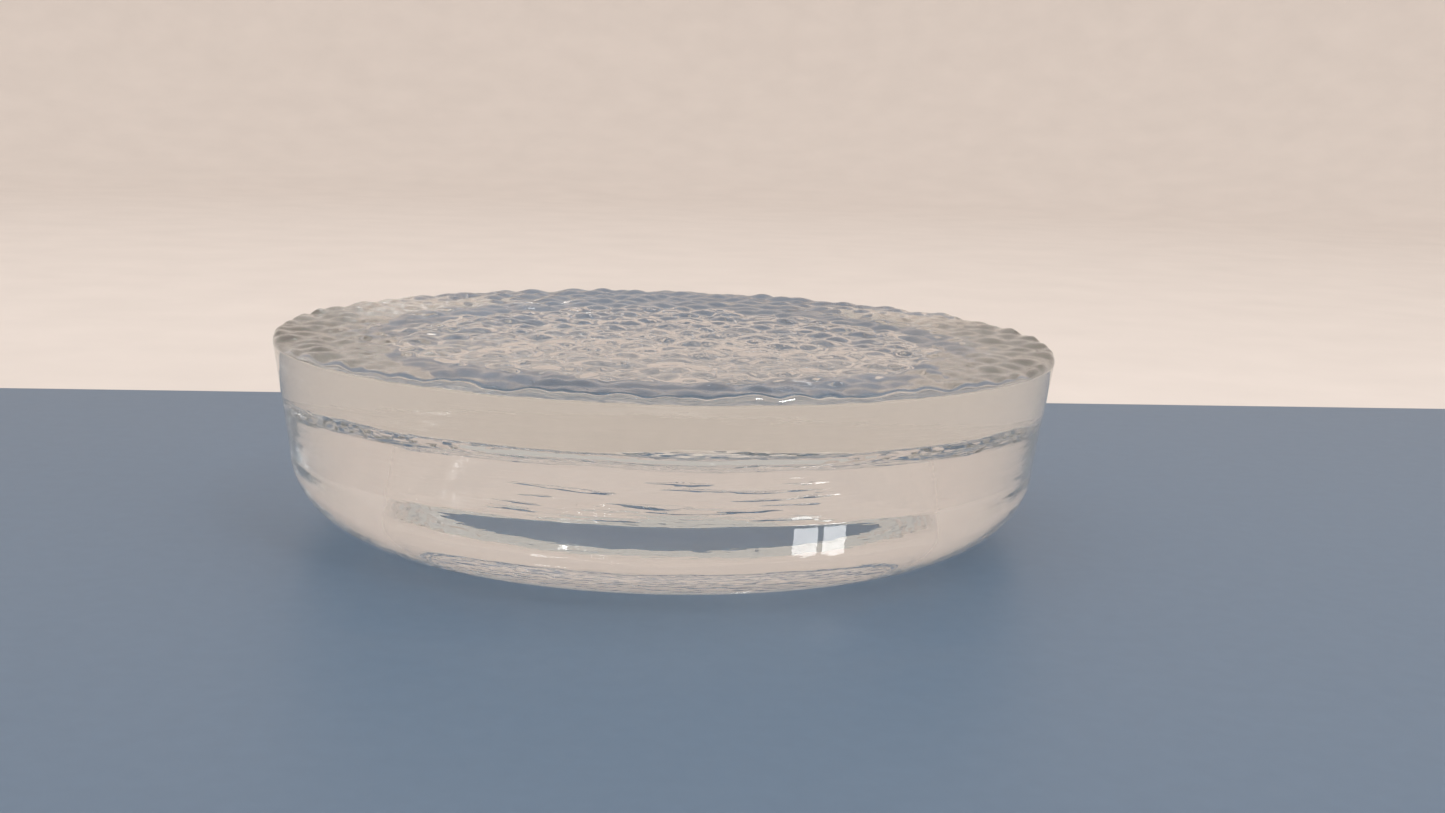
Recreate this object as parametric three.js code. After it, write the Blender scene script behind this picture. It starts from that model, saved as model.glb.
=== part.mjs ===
// A shallow, heavy dish of clear pressed glass, standing upside down: the thick closed
// plate with its hammered (pebbled) face is on top, the round recess opens downwards, and
// the dish rests on the flat ring round the recess mouth.
//
// The whole dish is one piece of glass, so the model is one solid: a profile turned about
// the Z axis, closed on top by a face that is raised into pebbles.
// Units are millimetres, +Z is up, and the origin is the centre of the resting ring.

import * as THREE from "three";

// ---- driving dimensions ------------------------------------------------------------------

const RIM_RADIUS = 60;          // widest point, just under the pebbled face
const CREST_HEIGHT = 29.5;      // table to the highest pebble crest
const SIDE_DRAFT_END = 57.7;    // outer radius where the drafted side meets the heel curve
const HEEL_HEIGHT = 11.5;       // height of the rounded lower edge
const FOOT_OUTER_RADIUS = 45.2; // outer edge of the flat resting ring
const TOP_EDGE_RADIUS = 1.2;    // rounding between the side and the pebbled face

const RECESS_DEPTH = 19.6;         // resting plane to the flat floor of the dish
const RECESS_FLOOR_RADIUS = 41.3;  // where the line of the wall meets the floor
const RECESS_BEND_RADIUS = 42.7;   // where the draft turns from 8.5 degrees into 2
const RECESS_BEND_HEIGHT = 10.25;
const RECESS_MOUTH_RADIUS = 43.05;
const FLOOR_CORNER_ROUNDING = 2.4;
const BEND_ROUNDING = 2;
const MOUTH_EDGE_ROUNDING = 0.45;

const PEBBLE_SPACING = 5;       // mean distance between neighbouring pebbles
const PEBBLE_RELIEF = 1.1;      // hollow to crest
const PEBBLE_SEED = 7;

const TURN_SEGMENTS = 96;       // facets round the dish
const FACE_RINGS = 29;          // rings of facets across the pebbled face
const HEEL_STEPS = 9;           // facets along the heel curve
const CORNER_STEPS = 4;         // facets along the larger rounded corners
const SMALL_STEPS = 2;          // facets along the smallest ones

const FACE_HEIGHT = CREST_HEIGHT - PEBBLE_RELIEF / 2;
const FACE_RADIUS = RIM_RADIUS - TOP_EDGE_RADIUS;

// ---- helpers ------------------------------------------------------------------------------

// Points of an elliptical arc about (cx, cz), from angle a0 to a1 in radians.
function arc(cx, cz, rx, rz, a0, a1, steps) {
  const points = [];
  for (let i = 0; i <= steps; i += 1) {
    const a = a0 + ((a1 - a0) * i) / steps;
    points.push(new THREE.Vector2(cx + rx * Math.cos(a), cz + rz * Math.sin(a)));
  }
  return points;
}

// The tangent arc, of radius r, that rounds the corner of a broken line at point b between
// points a and c. It starts r / tan(h) from the corner, h being half of the corner's angle,
// and its centre lies r / sin(h) along the bisector.
function roundedCorner(a, b, c, r, steps) {
  const back = a.clone().sub(b).normalize();
  const ahead = c.clone().sub(b).normalize();
  const half = Math.acos(back.dot(ahead)) / 2;
  const centre = back.clone().add(ahead).normalize().multiplyScalar(r / Math.sin(half)).add(b);
  const start = back.multiplyScalar(r / Math.tan(half)).add(b).sub(centre);
  const end = ahead.multiplyScalar(r / Math.tan(half)).add(b).sub(centre);
  const turn = Math.atan2(start.cross(end), start.dot(end));
  return arc(centre.x, centre.y, r, r, start.angle(), start.angle() + turn, steps);
}

// A repeatable number from 0 to 1 for a lattice cell and a channel.
function cellNumber(i, j, channel) {
  const s = Math.sin(i * 127.1 + j * 311.7 + channel * 74.7 + PEBBLE_SEED * 19.19) * 43758.5453;
  return s - Math.floor(s);
}

// ---- the dish -----------------------------------------------------------------------------

// The turned profile as (radius, height) points: it starts on the axis at the recess floor,
// goes down the recess wall, out over the resting ring, round the heel, up the drafted side
// and over the top edge.
function dishProfile() {
  const middle = new THREE.Vector2(0, RECESS_DEPTH);
  const corner = new THREE.Vector2(RECESS_FLOOR_RADIUS, RECESS_DEPTH);
  const bend = new THREE.Vector2(RECESS_BEND_RADIUS, RECESS_BEND_HEIGHT);
  const mouth = new THREE.Vector2(RECESS_MOUTH_RADIUS, 0);
  const foot = new THREE.Vector2(FOOT_OUTER_RADIUS, 0);
  const quarter = Math.PI / 2;
  return [
    middle,
    ...roundedCorner(middle, corner, bend, FLOOR_CORNER_ROUNDING, CORNER_STEPS),
    ...roundedCorner(corner, bend, mouth, BEND_ROUNDING, SMALL_STEPS),
    ...roundedCorner(bend, mouth, foot, MOUTH_EDGE_ROUNDING, SMALL_STEPS),
    ...arc(
      FOOT_OUTER_RADIUS, HEEL_HEIGHT,
      SIDE_DRAFT_END - FOOT_OUTER_RADIUS, HEEL_HEIGHT, -quarter, 0, HEEL_STEPS,
    ),
    ...arc(
      FACE_RADIUS, FACE_HEIGHT - TOP_EDGE_RADIUS,
      TOP_EDGE_RADIUS, TOP_EDGE_RADIUS, 0, quarter, CORNER_STEPS,
    ),
  ];
}

// Height of the pebbled face above its mean, from -relief/2 to +relief/2: rounded bumps stand
// on a jittered hexagonal lattice, and the tallest bump at a point gives the height.
function pebbleHeight(x, y) {
  const rowPitch = PEBBLE_SPACING * Math.sqrt(0.75);
  const row = Math.round(y / rowPitch);
  let top = 0;
  for (let j = row - 2; j <= row + 2; j += 1) {
    const shift = (Math.abs(j) % 2) * 0.5;
    const column = Math.round(x / PEBBLE_SPACING - shift);
    for (let i = column - 2; i <= column + 2; i += 1) {
      const px = (i + shift + 0.7 * (cellNumber(i, j, 1) - 0.5)) * PEBBLE_SPACING;
      const py = (j + 0.7 * (cellNumber(i, j, 2) - 0.5)) * rowPitch;
      const width = PEBBLE_SPACING * (0.36 + 0.16 * cellNumber(i, j, 3));
      const height = 0.7 + 0.3 * cellNumber(i, j, 4);
      const distance = Math.hypot(x - px, y - py) / width;
      top = Math.max(top, height * Math.exp(-0.5 * distance * distance));
    }
  }
  return (top - 0.5) * PEBBLE_RELIEF;
}

// One ring of points round the axis. The pebbles raise the face fully, and the rounding under
// the rim less and less, so that the rim line is gently wavy. On the axis it is one point.
function ring(radius, height, count) {
  const share = Math.max(0, (height - FACE_HEIGHT) / TOP_EDGE_RADIUS + 1);
  const points = [];
  for (let i = 0; i < count; i += 1) {
    const turn = (2 * Math.PI * i) / count;
    const x = radius * Math.cos(turn);
    const y = radius * Math.sin(turn);
    points.push([x, y, height + share * pebbleHeight(x, y)]);
  }
  return points;
}

// The turned profile, then the face: its rings have six points more each, from the middle
// out, which keeps the facets of the pebbles the same size all over.
function dishRings() {
  const rings = dishProfile().map((p) => ring(p.x, p.y, p.x > 0 ? TURN_SEGMENTS : 1));
  for (let k = FACE_RINGS; k >= 0; k -= 1) {
    rings.push(ring((FACE_RADIUS * k) / (FACE_RINGS + 1), FACE_HEIGHT, Math.max(1, 6 * k)));
  }
  return rings;
}

// Joins neighbouring rings with triangles. It walks round both rings at once and always
// steps forward on the ring whose next point comes first, so their counts may differ.
function ringsToGeometry(rings) {
  const positions = [];
  const indices = [];
  const starts = rings.map((points) => {
    const start = positions.length / 3;
    positions.push(...points.flat());
    return start;
  });
  for (let r = 0; r + 1 < rings.length; r += 1) {
    const here = rings[r].length;
    const next = rings[r + 1].length;
    const hereSteps = here > 1 ? here : 0;
    const nextSteps = next > 1 ? next : 0;
    let i = 0;
    let j = 0;
    while (i < hereSteps || j < nextSteps) {
      const a = starts[r] + (i % here);
      const b = starts[r + 1] + (j % next);
      const stepHere = j === nextSteps
        || (i < hereSteps && (i + 1) / hereSteps <= (j + 1) / nextSteps);
      if (stepHere) {
        i += 1;
        indices.push(a, starts[r] + (i % here), b);
      } else {
        j += 1;
        indices.push(a, starts[r + 1] + (j % next), b);
      }
    }
  }
  const geometry = new THREE.BufferGeometry();
  geometry.setAttribute("position", new THREE.Float32BufferAttribute(positions, 3));
  geometry.setIndex(indices);
  geometry.computeVertexNormals();
  return geometry;
}

function glassDish() {
  const clearGlass = new THREE.MeshStandardMaterial({
    color: 0xdfe6e1,
    roughness: 0.05,
    metalness: 0,
    transparent: true,
    opacity: 0.35,
  });
  const dish = new THREE.Mesh(ringsToGeometry(dishRings()), clearGlass);
  dish.name = "glass_dish";
  return dish;
}

const model = new THREE.Group();
model.add(glassDish());

export default model;
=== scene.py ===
# %% [markdown]
# # A heavy glass dish, standing mouth down
#
# The object is one piece of clear pressed glass: a shallow round dish with thick walls. It
# stands upside down, so its closed face, hammered into small rounded pebbles, is on top, and
# its recess opens onto the table. Nothing on it moves and nothing is fixed to it.
#
# Clear glass has hardly any colour of its own. What the eye sees are the bands of table and
# wall that the walls of the dish bend and mirror. So the work here is in three places: the
# exact shape of the hidden recess, the relief of the pebbled face, and the few faults of
# pressed glass that tell it from a perfect lens.
#
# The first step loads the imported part. Its box gives the rim radius and the height that the
# fine surface has to keep to.

import bpy
import numpy as np
from mathutils import Matrix, Vector


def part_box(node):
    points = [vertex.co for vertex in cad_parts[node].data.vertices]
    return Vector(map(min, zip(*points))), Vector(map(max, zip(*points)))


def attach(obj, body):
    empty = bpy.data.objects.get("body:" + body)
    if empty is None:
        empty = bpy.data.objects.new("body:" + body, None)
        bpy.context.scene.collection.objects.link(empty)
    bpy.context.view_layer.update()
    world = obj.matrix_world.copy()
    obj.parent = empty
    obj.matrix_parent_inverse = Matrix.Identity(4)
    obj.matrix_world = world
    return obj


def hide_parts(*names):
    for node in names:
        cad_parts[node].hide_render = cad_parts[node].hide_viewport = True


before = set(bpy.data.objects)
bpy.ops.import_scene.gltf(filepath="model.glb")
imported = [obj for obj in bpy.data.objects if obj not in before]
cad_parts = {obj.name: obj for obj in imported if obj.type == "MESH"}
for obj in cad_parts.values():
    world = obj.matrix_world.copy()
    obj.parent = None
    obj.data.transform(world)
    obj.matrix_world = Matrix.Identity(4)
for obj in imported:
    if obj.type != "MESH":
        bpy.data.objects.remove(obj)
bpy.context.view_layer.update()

low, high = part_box("glass_dish")
MM = 0.001
RIM_RADIUS = (high[0] - low[0]) / 2
CREST_HEIGHT = high[2]
print(f"rim radius {RIM_RADIUS / MM:.2f} mm, crest height {CREST_HEIGHT / MM:.2f} mm")

# %% [markdown]
# ## Small helpers
#
# Colours are written as sRGB hex values, the way a paint chart gives them, and one function
# turns them into the linear numbers that a shader needs. One more adds a node with its
# settings and links, so that a material reads as a list of what it is made of.

# %% Colour and node helpers


def linear(hex_colour):
    """sRGB hex to linear RGBA: c / 12.92 below 0.04045, and ((c + 0.055) / 1.055) ^ 2.4 above."""
    srgb = np.array([int(hex_colour[i:i + 2], 16) for i in (1, 3, 5)]) / 255
    rgb = np.where(srgb <= 0.04045, srgb / 12.92, ((srgb + 0.055) / 1.055) ** 2.4)
    return (*rgb.tolist(), 1.0)


def add_node(material, kind, settings=None, inputs=None):
    """Adds a node, sets its properties, and sets or links its inputs by name or number."""
    node = material.node_tree.nodes.new(kind)
    for name, value in (settings or {}).items():
        setattr(node, name, value)
    for name, value in (inputs or {}).items():
        if isinstance(value, bpy.types.NodeSocket):
            material.node_tree.links.new(value, node.inputs[name])
        else:
            node.inputs[name].default_value = value
    return node


# %% [markdown]
# ## The turned profile
#
# A pressed dish is round because the mould and the plunger are turned on a lathe. Its shape
# is therefore one line in the plane of radius and height, carried round the axis. The line
# starts at the middle of the recess, goes out along the dish's flat floor, turns down the
# recess wall, crosses the narrow ring that the dish rests on, swings round the fat outer
# heel, climbs the slightly drafted side and rounds over the top edge.
#
# The recess wall isn't one straight cone. The plunger is drafted eight and a half degrees near
# the floor of the dish and only two degrees near the mouth, with a plain bend between them.
# That bend is the upper edge of the long blue-grey band seen low on the side. The sizes of the
# recess and the heel can't be read from the part's box, so they are repeated here. Each corner
# of the recess is a radius, a height and the fillet that rounds it.

# %% Sizes of the hidden recess and the heel
RECESS_DEPTH = 19.6 * MM
FLOOR_CORNER = (41.3 * MM, RECESS_DEPTH, 2.4 * MM)
WALL_BEND = (42.7 * MM, 10.25 * MM, 2.0 * MM)
MOUTH_EDGE = (43.05 * MM, 0.0, 0.45 * MM)
FOOT_OUTER_RADIUS = 45.2 * MM
HEEL_HEIGHT = 11.5 * MM
SIDE_LOWER_RADIUS = 57.7 * MM
TOP_EDGE_RADIUS = 1.2 * MM
PEBBLE_RELIEF = 1.1 * MM
HEEL_STEPS = 24
EDGE_STEPS = 8
SMALLEST_GAP = 0.003 * MM
FACE_HEIGHT = CREST_HEIGHT - PEBBLE_RELIEF / 2
FACE_RADIUS = RIM_RADIUS - TOP_EDGE_RADIUS
print(f"floor of the dish {(CREST_HEIGHT - RECESS_DEPTH) / MM:.1f} mm thick under the crests")

# %% Lines and arcs


def arc(centre, radii, start, end, steps):
    """Points centre + (radius * cos a, height * sin a) while a goes from start to end degrees."""
    a = np.radians(np.linspace(start, end, steps + 1))
    return np.stack([centre[0] + radii[0] * np.cos(a), centre[1] + radii[1] * np.sin(a)], -1)


def rounded(corners, steps=14):
    """A broken line whose inner corners (radius, height, fillet) become tangent arcs.

    The arc of a fillet f in a corner of angle c starts f / tan(c / 2) from the corner, and its
    centre lies f / sin(c / 2) along the corner's bisector. No arc takes up half of a side.
    """
    largest_share = 0.49
    parts = [np.array([corners[0][:2]])]
    for before, corner, after in zip(corners, corners[1:], corners[2:]):
        point = np.array(corner[:2])
        back = np.array(before[:2]) - point
        ahead = np.array(after[:2]) - point
        reach = min(np.linalg.norm(back), np.linalg.norm(ahead)) * largest_share
        back /= np.linalg.norm(back)
        ahead /= np.linalg.norm(ahead)
        half = np.arccos(np.clip(back @ ahead, -1, 1)) / 2
        tangent = min(corner[2] / np.tan(half), reach)
        fillet = tangent * np.tan(half)
        middle = point + (back + ahead) / np.linalg.norm(back + ahead) * fillet / np.sin(half)
        start = point + back * tangent - middle
        end = point + ahead * tangent - middle
        first = np.arctan2(start[1], start[0])
        last = np.arctan2(end[1], end[0])
        turn = (last - first + np.pi) % (2 * np.pi) - np.pi
        sweep = np.degrees([first, first + turn])
        parts.append(arc(middle, (fillet, fillet), *sweep, steps))
    parts.append(np.array([corners[-1][:2]]))
    return np.concatenate(parts)


def with_edge_rings(line, near=0.12 * MM, step=3.0 * MM):
    """Adds points near both ends of each long straight stretch, so smooth shading keeps it flat."""
    kept = [line[:1]]
    for start, end in zip(line, line[1:]):
        length = np.linalg.norm(end - start)
        if length > 8 * near:
            inner = np.arange(step, length - step / 2, step)
            places = np.concatenate([[near, 3 * near], inner, [length - 3 * near, length - near]])
            places = np.unique(np.round(places, 7)) / length
            kept.append(start + places[:, None] * (end - start))
        kept.append(end[None])
    return np.concatenate(kept)


# %% The profile from the recess to the top edge
recess_line = rounded([
    (0.0, RECESS_DEPTH, 0.0), FLOOR_CORNER, WALL_BEND, MOUTH_EDGE, (FOOT_OUTER_RADIUS, 0.0, 0.0),
])
heel_line = arc(
    (FOOT_OUTER_RADIUS, HEEL_HEIGHT),
    (SIDE_LOWER_RADIUS - FOOT_OUTER_RADIUS, HEEL_HEIGHT), -90, 0, HEEL_STEPS,
)
edge_line = arc(
    (FACE_RADIUS, FACE_HEIGHT - TOP_EDGE_RADIUS),
    (TOP_EDGE_RADIUS, TOP_EDGE_RADIUS), 0, 90, EDGE_STEPS,
)
profile = with_edge_rings(np.concatenate([recess_line, heel_line[1:], edge_line]))
gaps = np.linalg.norm(np.diff(profile, axis=0), axis=1)
profile = profile[np.concatenate([[True], gaps > SMALLEST_GAP])]
print(f"profile of {len(profile)} points, from {profile[0] / MM} to {profile[-1] / MM} mm")

# %% [markdown]
# ## The hammered face
#
# The closed face is covered with rounded bumps about 5 mm apart, packed like cobbles but never
# quite in rows, with narrow valleys where two of them meet. A bump map would only tilt the
# light. Here the bumps also shape the rim against the background and bend what is seen
# through the glass, so they are real relief.
#
# Each bump is a bell curve on a hexagonal lattice whose points are shaken by a repeatable
# number. At any place the tallest bump wins, which leaves a sharp valley between neighbours.
# The same formula at a third of the spacing adds the faint ripple that chilled glass has.

# %% Height of the pebbles
PEBBLE_SPACING = 5.0 * MM
SEED = 7


def cell_number(column, row, channel):
    """A repeatable number from 0 to 1 for a lattice cell: the fraction of a large sine."""
    s = np.sin(column * 127.1 + row * 311.7 + channel * 74.7 + SEED * 19.19) * 43758.5453
    return s - np.floor(s)


def bump_height(x, y, spacing):
    """Tallest of the bells h * exp(-d^2 / 2 w^2) of the nearby lattice cells, from 0 to 1.

    The rows are spacing * sqrt(3/4) apart, every other one is shifted by half a spacing, and
    each centre is shaken by up to 0.35 of a spacing. w is 0.36 to 0.52 of the spacing, and h
    is 0.7 to 1. Two rows and two columns on each side of a point are near enough to matter.
    """
    row_pitch = spacing * np.sqrt(0.75)
    middle_row = np.round(y / row_pitch)
    tallest = np.zeros_like(x)
    for row_step in range(-2, 3):
        row = middle_row + row_step
        shift = (np.abs(row) % 2) * 0.5
        middle_column = np.round(x / spacing - shift)
        for column_step in range(-2, 3):
            column = middle_column + column_step
            centre_x = (column + shift + 0.7 * (cell_number(column, row, 1) - 0.5)) * spacing
            centre_y = (row + 0.7 * (cell_number(column, row, 2) - 0.5)) * row_pitch
            width = spacing * (0.36 + 0.16 * cell_number(column, row, 3))
            height = 0.7 + 0.3 * cell_number(column, row, 4)
            distance = np.hypot(x - centre_x, y - centre_y) / width
            tallest = np.maximum(tallest, height * np.exp(-0.5 * distance ** 2))
    return tallest


RIPPLE_SHARE = 0.07
RIPPLE_SHIFT = 40 * MM


def pebble_height(x, y):
    """Height above the face's mean: pebbles and a finer ripple, within half the relief."""
    pebbles = bump_height(x, y, PEBBLE_SPACING) - 0.5
    ripple = bump_height(x + RIPPLE_SHIFT, y, PEBBLE_SPACING / 3) - 1
    return ((1 - RIPPLE_SHARE) * pebbles + RIPPLE_SHARE * ripple) * PEBBLE_RELIEF


# %% [markdown]
# ## Turning the profile into glass
#
# The profile becomes a grid: one row for each of its points, one column for each step round
# the axis. The face adds rings that close in on the middle. The pressed walls aren't perfectly
# round either. Hot glass meets a cooler mould and creeps as it sets, so slow waves of a few
# hundredths of a millimetre run round the walls. The corner of the recess, where the glass is
# thickest, wanders up and down by a few tenths, and the dark band there wanders with it.

# %% The grid of the dish
TURN_STEPS = 440
FACE_RINGS = 100
WALL_WAVE = 0.05 * MM
CORNER_WAVE = 0.3 * MM
WAVE_FADE = 4 * MM
CORNER_REACH = 3 * MM
LEAST_WALL = 8 * MM


def slow_waves(turn, height):
    """Sum of three sines round the axis, each twisting slowly with height, from -1 to 1."""
    climb = height / CREST_HEIGHT
    return (
        0.5 * np.sin(3 * turn + 1.1 + 2.0 * climb)
        + 0.3 * np.sin(7 * turn + 4.0 - 3.0 * climb)
        + 0.2 * np.sin(13 * turn + 2.3 + 5.0 * climb)
    )


def dish_grid():
    """Rings of points: the turned profile, then the face, with waves and pebbles added."""
    face_radii = np.linspace(FACE_RADIUS, 0, FACE_RINGS + 1)[1:-1]
    radius = np.concatenate([profile[1:, 0], face_radii])[:, None]
    height = np.concatenate([profile[1:, 1], np.full(len(face_radii), FACE_HEIGHT)])[:, None]
    turn = np.linspace(0, 2 * np.pi, TURN_STEPS, endpoint=False)[None]
    waves = slow_waves(turn, height)
    # The waves of the wall fade out at the foot and the rim, so that the box stays true.
    over_foot = np.clip(height / WAVE_FADE, 0, 1)
    under_rim = np.clip((FACE_HEIGHT - height) / WAVE_FADE, 0, 1)
    off_middle = radius > FLOOR_CORNER[0] / 2
    wavy_radius = radius - WALL_WAVE * (1 + waves) / 2 * (over_foot * under_rim) * off_middle
    # Those of the corner stay near its height, inside the dish, and die away to the middle.
    inside = radius < SIDE_LOWER_RADIUS - LEAST_WALL
    near_corner = np.exp(-((height - RECESS_DEPTH) / CORNER_REACH) ** 2)
    corner = near_corner * np.clip(radius / FLOOR_CORNER[0], 0, 1) ** 4
    x = wavy_radius * np.cos(turn)
    y = wavy_radius * np.sin(turn)
    follow = np.clip((height - FACE_HEIGHT) / TOP_EDGE_RADIUS + 1, 0, 1)
    z = height + CORNER_WAVE * waves * corner * inside + follow * pebble_height(x, y)
    return np.stack([x, y, z], -1)


grid = dish_grid()

# %% The closed mesh


def closed_mesh(name, rings, first_pole, last_pole):
    """Four-sided faces between neighbouring rings, and a fan of triangles at each pole."""
    count, steps = rings.shape[:2]
    points = np.concatenate([rings.reshape(-1, 3), [first_pole, last_pole]])
    here = np.arange(steps)
    there = (here + 1) % steps
    ring = np.arange(count - 1)[:, None] * steps
    quads = np.stack([ring + here, ring + there, ring + steps + there, ring + steps + here], -1)
    start_fan = np.stack([np.full(steps, count * steps), there, here], -1)
    last_ring = (count - 1) * steps
    end_fan = np.stack([np.full(steps, count * steps + 1), last_ring + here, last_ring + there], -1)
    mesh = bpy.data.meshes.new(name)
    faces = quads.reshape(-1, 4).tolist() + start_fan.tolist() + end_fan.tolist()
    mesh.from_pydata(points.tolist(), [], faces)
    mesh.polygons.foreach_set("use_smooth", np.ones(len(mesh.polygons), bool))
    mesh.update()
    return mesh


def volume_and_triangles(mesh):
    """The sum over triangles of a . (b x c) / 6, positive when faces point out, and their number."""
    mesh.calc_loop_triangles()
    corners = np.empty(len(mesh.loop_triangles) * 3, np.int32)
    mesh.loop_triangles.foreach_get("vertices", corners)
    places = np.empty(len(mesh.vertices) * 3)
    mesh.vertices.foreach_get("co", places)
    a, b, c = places.reshape(-1, 3)[corners.reshape(-1, 3)].transpose(1, 0, 2)
    return float(np.einsum("ij,ij->i", a, np.cross(b, c)).sum() / 6), len(a)


top_middle = (0.0, 0.0, FACE_HEIGHT + float(pebble_height(np.zeros(1), np.zeros(1))[0]))
dish_mesh = closed_mesh("hammered_dish", grid, (0.0, 0.0, RECESS_DEPTH), top_middle)
dish = bpy.data.objects.new("hammered_dish", dish_mesh)
bpy.context.scene.collection.objects.link(dish)
volume, triangles = volume_and_triangles(dish_mesh)
GLASS_DENSITY = 2500
mass = volume * GLASS_DENSITY
print(f"{triangles} triangles, {volume * 1e6:.1f} cm3 of glass, {mass:.3f} kg")

# %% [markdown]
# ## Clear soda-lime glass, pressed and fire-polished
#
# Pressed tableware glass is soda-lime glass with an index of 1.52. Where it touched the mould
# it was polished again by a flame, so it is almost as smooth as a liquid, but not flat: fine
# flow lines run round the side, drawn out along the wall. At the front the plunger was too
# cold for the gob, and left a few short level wrinkles in the recess wall. Iron in the sand
# gives a tint so faint that it shows only where light has travelled several centimetres.
# Years of use leave scuffs on what touches the table, and the melt leaves a few specks.
#
# The glass is a Principled shader with full transmission. The flow lines and the wrinkles go
# to its normal, the scuffs to its roughness and the specks to its colour. The tint is
# absorption in the volume, with both of its values set on the node itself. A renderer can't
# aim at a lamp through bent glass, so for shadow rays the glass is simply clear, and the
# table under the dish is lit as softly as it is under a real one.

# %% Flow lines and chill wrinkles
FLOW_LINE_WIDTH = 14 * MM
FLOW_LINE_SQUASH = 9
FLOW_LINE_RELIEF = 0.09 * MM
WRINKLE_LENGTH = 13 * MM
WRINKLE_SQUASH = 18
WRINKLE_RELIEF = 0.12 * MM


def level_noise(material, place, size, squash, settings):
    """Noise of one size in plan and squashed in height, so that it runs in level streaks."""
    squashed = add_node(material, "ShaderNodeMapping", {}, {
        "Vector": place, "Scale": (1, 1, squash),
    }).outputs["Vector"]
    return add_node(material, "ShaderNodeTexNoise", {}, {
        "Vector": squashed, "Scale": 1 / size, **settings,
    }).outputs["Fac"]


def between(material, value, start, end, low=0.0, high=1.0):
    """A ramp from low to high while the value goes from start to end, level beyond them."""
    return add_node(material, "ShaderNodeMapRange", {"clamp": True}, {
        "Value": value, "From Min": start, "From Max": end, "To Min": low, "To Max": high,
    }).outputs["Result"]


def calculate(material, operation, first, second):
    """One step of arithmetic on two values."""
    return add_node(material, "ShaderNodeMath", {"operation": operation}, {
        0: first, 1: second,
    }).outputs["Value"]


def recess_front(material, place):
    """One on the front of the recess wall, between its bend and the floor, and zero elsewhere."""
    parts = add_node(material, "ShaderNodeSeparateXYZ", {}, {"Vector": place})
    in_plan = add_node(material, "ShaderNodeVectorMath", {"operation": "MULTIPLY"}, {
        0: place, 1: (1, 1, 0),
    }).outputs["Vector"]
    radius = add_node(material, "ShaderNodeVectorMath", {"operation": "LENGTH"}, {
        0: in_plan,
    }).outputs["Value"]
    mask = calculate(material, "LESS_THAN", radius, FOOT_OUTER_RADIUS)
    for value, start, end in (
        (parts.outputs["Z"], 10.5 * MM, 12 * MM),
        (parts.outputs["Z"], 17 * MM, 15.5 * MM),
        (parts.outputs["Y"], -36 * MM, -40 * MM),
    ):
        mask = calculate(material, "MULTIPLY", mask, between(material, value, start, end))
    return mask


def pressed_relief(material, place):
    """Normal with flow lines all over and a few creases on the front of the recess wall."""
    flow = level_noise(material, place, FLOW_LINE_WIDTH, FLOW_LINE_SQUASH, {
        "Detail": 3.0, "Roughness": 0.5,
    })
    flow_normal = add_node(material, "ShaderNodeBump", {}, {
        "Height": flow, "Strength": 0.35, "Distance": FLOW_LINE_RELIEF,
    }).outputs["Normal"]
    wrinkle = level_noise(material, place, WRINKLE_LENGTH, WRINKLE_SQUASH, {"Detail": 1.0})
    crease = between(material, wrinkle, 0.57, 0.66)
    creases = calculate(material, "MULTIPLY", crease, recess_front(material, place))
    return add_node(material, "ShaderNodeBump", {}, {
        "Height": creases, "Strength": 1.0, "Distance": WRINKLE_RELIEF, "Normal": flow_normal,
    }).outputs["Normal"]


# %% Scuffs and specks
SCUFF_SIZE = 2.5 * MM
WORN_HEIGHT = 0.6 * MM
WORN_ROUGHNESS = 0.22
SPECK_SPACING = 9 * MM
SPECK_RADIUS = 0.16 * MM


def scuffs(material, place):
    """Roughness: worn where the resting ring meets the table, and lightly scratched all over."""
    scratches = add_node(material, "ShaderNodeTexNoise", {}, {
        "Vector": place, "Scale": 1 / SCUFF_SIZE, "Detail": 6.0, "Roughness": 0.65,
    }).outputs["Fac"]
    height = add_node(material, "ShaderNodeSeparateXYZ", {}, {"Vector": place}).outputs["Z"]
    near_table = between(material, height, 0.0, WORN_HEIGHT, WORN_ROUGHNESS, 0.0)
    scratched = between(material, scratches, 0.45, 0.75, 0.0, 0.035)
    return calculate(material, "ADD", near_table, scratched)


def specks(material, place):
    """Clear colour with small grey specks: one to a lattice cell, in about a third of the cells."""
    cells = add_node(material, "ShaderNodeTexVoronoi", {"feature": "F1"}, {
        "Vector": place, "Scale": 1 / SPECK_SPACING,
    })
    dot = calculate(material, "LESS_THAN", cells.outputs["Distance"], SPECK_RADIUS / SPECK_SPACING)
    lot = add_node(material, "ShaderNodeSeparateColor", {}, {"Color": cells.outputs["Color"]})
    chosen = calculate(material, "GREATER_THAN", lot.outputs["Red"], 0.65)
    speck = calculate(material, "MULTIPLY", dot, chosen)
    return add_node(material, "ShaderNodeMix", {"data_type": "RGBA"}, {
        "Factor": speck, 6: linear("#FFFFFF"), 7: linear("#6F6A62"),
    }).outputs[2]


# %% The glass
REFRACTIVE_INDEX = 1.52
SHADOW_GREY = 0.8


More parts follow.
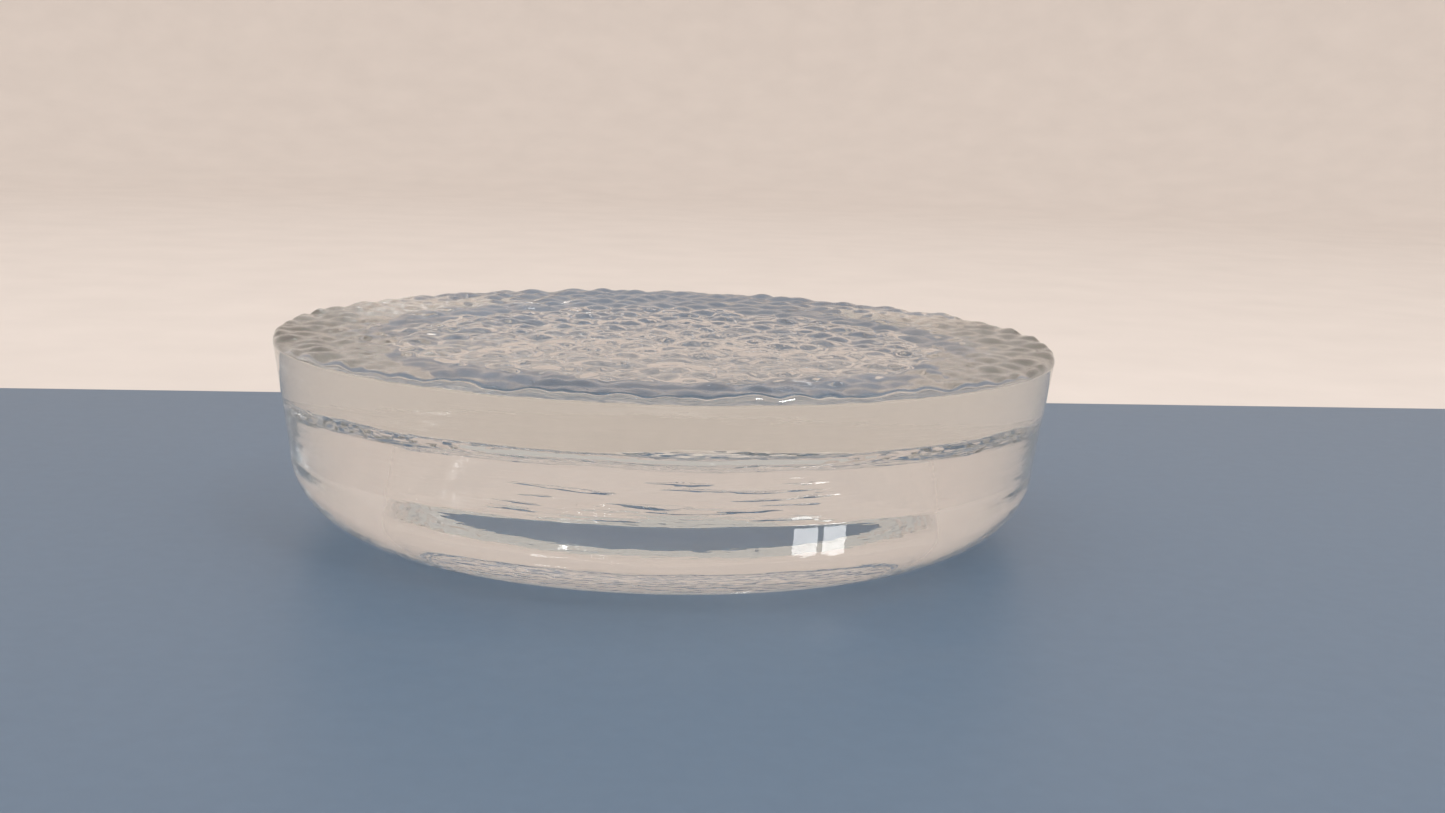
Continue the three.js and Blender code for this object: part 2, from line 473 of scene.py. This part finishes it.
def pressed_glass():
    """Clear glass with flow lines, wrinkles, a scuffed contact ring, specks and a faint tint."""
    material = bpy.data.materials.new("clear_pressed_soda_lime_glass")
    material.use_nodes = True
    shader = material.node_tree.nodes["Principled BSDF"]
    output = material.node_tree.nodes["Material Output"]
    links = material.node_tree.links
    place = add_node(material, "ShaderNodeTexCoord").outputs["Object"]
    links.new(specks(material, place), shader.inputs["Base Color"])
    links.new(scuffs(material, place), shader.inputs["Roughness"])
    links.new(pressed_relief(material, place), shader.inputs["Normal"])
    shader.inputs["IOR"].default_value = REFRACTIVE_INDEX
    shader.inputs["Transmission Weight"].default_value = 1.0
    tint = add_node(material, "ShaderNodeVolumeAbsorption", {}, {
        "Color": linear("#BAC0B2"), "Density": 3.0,
    })
    links.new(tint.outputs["Volume"], output.inputs["Volume"])

    # Lamps shine straight through: only shadow rays see the plain transparent shader.
    straight = add_node(material, "ShaderNodeBsdfTransparent", {}, {
        "Color": (SHADOW_GREY, SHADOW_GREY, SHADOW_GREY, 1),
    })
    path = add_node(material, "ShaderNodeLightPath")
    surface = add_node(material, "ShaderNodeMixShader", {}, {
        "Fac": path.outputs["Is Shadow Ray"],
        1: shader.outputs["BSDF"],
        2: straight.outputs["BSDF"],
    })
    links.new(surface.outputs["Shader"], output.inputs["Surface"])
    return material


dish_mesh.materials.append(pressed_glass())
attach(dish, "root")
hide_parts("glass_dish")
print("glass: index 1.52, flow lines", FLOW_LINE_WIDTH / MM, "mm wide")

# %% [markdown]
# ## A plain stage
#
# Clear glass shows its surroundings, so the stage is part of its look. The dish stands on a
# pale blue-grey sheet that ends just behind it, on a warm cream sweep that rises all round
# like a shallow bowl. Seen from any side, the cream lies behind the dish and nothing comes
# between it and the camera.

# %% The sheet and the sweep
SHEET_BACK = 1.8 * RIM_RADIUS
SHEET_SKEW = np.tan(np.radians(4.3))
SHEET_REACH = 0.5
SHEET_DROP = 0.1 * MM
SWEEP_MIDDLE = 0.02
SWEEP_FLAT = 0.9
SWEEP_CURVE = 0.5
SWEEP_TOP = 1.3
SWEEP_DROP = 1.0 * MM
SWEEP_STEPS = 96
MOTTLE = 0.06


def card(name, hex_colour, grain, roughness):
    """Card or painted board with a slight mottle, grain metres across."""
    material = bpy.data.materials.new(name)
    material.use_nodes = True
    shader = material.node_tree.nodes["Principled BSDF"]
    place = add_node(material, "ShaderNodeTexCoord").outputs["Object"]
    fibres = add_node(material, "ShaderNodeTexNoise", {}, {
        "Vector": place, "Scale": 1 / grain, "Detail": 5.0,
    }).outputs["Fac"]
    mottle = add_node(material, "ShaderNodeMapRange", {}, {
        "Value": fibres, "To Min": 1 - MOTTLE, "To Max": 1 + MOTTLE,
    }).outputs["Result"]
    tint = add_node(material, "ShaderNodeVectorMath", {"operation": "SCALE"}, {
        0: linear(hex_colour)[:3], "Scale": mottle,
    }).outputs["Vector"]
    material.node_tree.links.new(tint, shader.inputs["Base Color"])
    shader.inputs["Roughness"].default_value = roughness
    return material


def stage_piece(name, mesh, material):
    """Adds a stage mesh that isn't part of the object."""
    mesh.materials.append(material)
    piece = bpy.data.objects.new(name, mesh)
    bpy.context.scene.collection.objects.link(piece)
    return piece


def sheet_mesh():
    """A flat sheet a hair under the resting plane, its far edge turned slightly from the rim."""
    mesh = bpy.data.meshes.new("blue_grey_sheet")
    skew = SHEET_REACH * SHEET_SKEW
    corners = [
        (-SHEET_REACH, -SHEET_REACH), (SHEET_REACH, -SHEET_REACH),
        (SHEET_REACH, SHEET_BACK + skew), (-SHEET_REACH, SHEET_BACK - skew),
    ]
    mesh.from_pydata([(x, y, -SHEET_DROP) for x, y in corners], [], [(0, 1, 2, 3)])
    return mesh


def sweep_mesh():
    """A flat disc, a quarter-circle cove and a wall, turned round the axis."""
    line = np.concatenate([
        [[SWEEP_MIDDLE, 0.0], [SWEEP_FLAT, 0.0]],
        arc((SWEEP_FLAT, SWEEP_CURVE), (SWEEP_CURVE, SWEEP_CURVE), -90, 0, 16)[1:],
        [[SWEEP_FLAT + SWEEP_CURVE, SWEEP_TOP]],
    ])
    turn = np.linspace(0, 2 * np.pi, SWEEP_STEPS, endpoint=False)[None]
    radius = line[:, 0, None]
    z = np.broadcast_to(line[:, 1, None] - SWEEP_DROP, (len(line), SWEEP_STEPS))
    points = np.stack([radius * np.cos(turn), radius * np.sin(turn), z], -1).reshape(-1, 3)
    here = np.arange(SWEEP_STEPS)
    there = (here + 1) % SWEEP_STEPS
    ring = np.arange(len(line) - 1)[:, None] * SWEEP_STEPS
    beyond = ring + SWEEP_STEPS
    quads = np.stack([ring + here, beyond + here, beyond + there, ring + there], -1)
    mesh = bpy.data.meshes.new("cream_sweep")
    mesh.from_pydata(points.tolist(), [], quads.reshape(-1, 4).tolist() + [here.tolist()])
    mesh.polygons.foreach_set("use_smooth", np.ones(len(mesh.polygons), bool))
    return mesh


satin_board = card("satin_blue_grey_board", "#667C94", 3 * MM, 0.42)
cream_card = card("matt_cream_card", "#EEE6E1", 30 * MM, 0.6)
stage_piece("blue_grey_sheet", sheet_mesh(), satin_board)
stage_piece("cream_sweep", sweep_mesh(), cream_card)
print(f"the sheet ends {SHEET_BACK / MM:.0f} mm behind the dish's axis")

# %% [markdown]
# ## Camera and light
#
# The camera stands low and close, a little over four rim radii away, and looks down by ten
# degrees, with a slight turn and a slight tilt. Its places are multiples of the rim radius.
#
# The light is a soft sky and a large softbox overhead. The softbox lights the card and the
# sheet, but isn't itself seen in the glass, so the bands stay plain. Soft light alone would
# leave glass without the small bright marks that show its curves. So a window of two panes
# stands low on the right, and is mirrored by the recess wall. Its light falls in a narrow cone
# and isn't mirrored by the card, which keeps the sweep even. A small high lamp adds a few
# sparks to the pebbles.

# %% Camera
LENS = 42.35
CAMERA_AWAY = 4.42 * RIM_RADIUS
CAMERA_HIGH = 1.068 * RIM_RADIUS
TURN, DIP, TILT = np.radians([1.96, 10.0, 1.89])
NEAREST_SEEN = 0.01


def camera_axes(turn, dip, tilt):
    """Right, up and back vectors of a camera turned to the right, dipped and then tilted."""
    ahead = Vector((np.sin(turn) * np.cos(dip), np.cos(turn) * np.cos(dip), -np.sin(dip)))
    right = Vector((np.cos(turn), -np.sin(turn), 0))
    up = right.cross(ahead)
    return (
        right * np.cos(tilt) + up * np.sin(tilt),
        up * np.cos(tilt) - right * np.sin(tilt),
        -ahead,
    )


camera_data = bpy.data.cameras.new("camera")
camera_data.sensor_width = 36
camera_data.lens = LENS
camera_data.clip_start = NEAREST_SEEN
camera = bpy.data.objects.new("camera", camera_data)
bpy.context.scene.collection.objects.link(camera)
camera.matrix_world = Matrix.Translation((0, -CAMERA_AWAY, CAMERA_HIGH)) @ Matrix(
    [list(row) for row in zip(*camera_axes(TURN, DIP, TILT))]
).to_4x4()
bpy.context.scene.camera = camera
print("camera at", [round(v / MM) for v in camera.location], "mm")

# %% Light
WINDOW_AWAY = 1.15
WINDOW_HIGH = 0.19
WINDOW_TURNS = {"window_pane_left": 51.5, "window_pane_right": 62.5}
WINDOW_CONE = 36
SKY_STRENGTH = 0.65
MOST_BOUNCES = 24


def soft_lamp(name, place, target, size, watts, cone=180):
    """A rectangular lamp that faces the target and shines into a cone, given in degrees."""
    lamp = bpy.data.lights.new(name, "AREA")
    lamp.shape = "RECTANGLE"
    lamp.size, lamp.size_y = size
    lamp.energy = watts
    lamp.spread = np.radians(cone)
    body = bpy.data.objects.new(name, lamp)
    bpy.context.scene.collection.objects.link(body)
    body.location = place
    body.rotation_mode = "QUATERNION"
    body.rotation_quaternion = (Vector(target) - Vector(place)).to_track_quat("-Z", "Y")
    return body


for name, turn in WINDOW_TURNS.items():
    east = WINDOW_AWAY * np.sin(np.radians(turn))
    north = -WINDOW_AWAY * np.cos(np.radians(turn))
    pane = soft_lamp(
        name, (east, north, WINDOW_HIGH), (0, 0, 0.02), (0.18, 0.24), 0.07, WINDOW_CONE,
    )
    pane.visible_glossy = False

soft_lamp("high_lamp", (0.45, -0.60, 0.95), (0, 0, 0.03), (0.11, 0.11), 2.0)
softbox = soft_lamp("overhead_softbox", (0.0, -0.1, 1.25), (0, 0, 0), (1.3, 1.3), 7.1)
softbox.visible_camera = False
softbox.visible_glossy = False
softbox.visible_transmission = False

world = bpy.data.worlds.new("soft_sky")
world.use_nodes = True
sky = world.node_tree.nodes["Background"]
sky.inputs["Color"].default_value = linear("#F2EBE2")
sky.inputs["Strength"].default_value = SKY_STRENGTH
bpy.context.scene.world = world
bpy.context.scene.view_settings.view_transform = "Standard"

# Light is mirrored many times inside thick glass, and a path cut short would end in black.
cycles = bpy.context.scene.cycles
cycles.max_bounces = cycles.transmission_bounces = cycles.glossy_bounces = MOST_BOUNCES
print("light: a soft sky, a softbox, a window of two panes and a small high lamp")
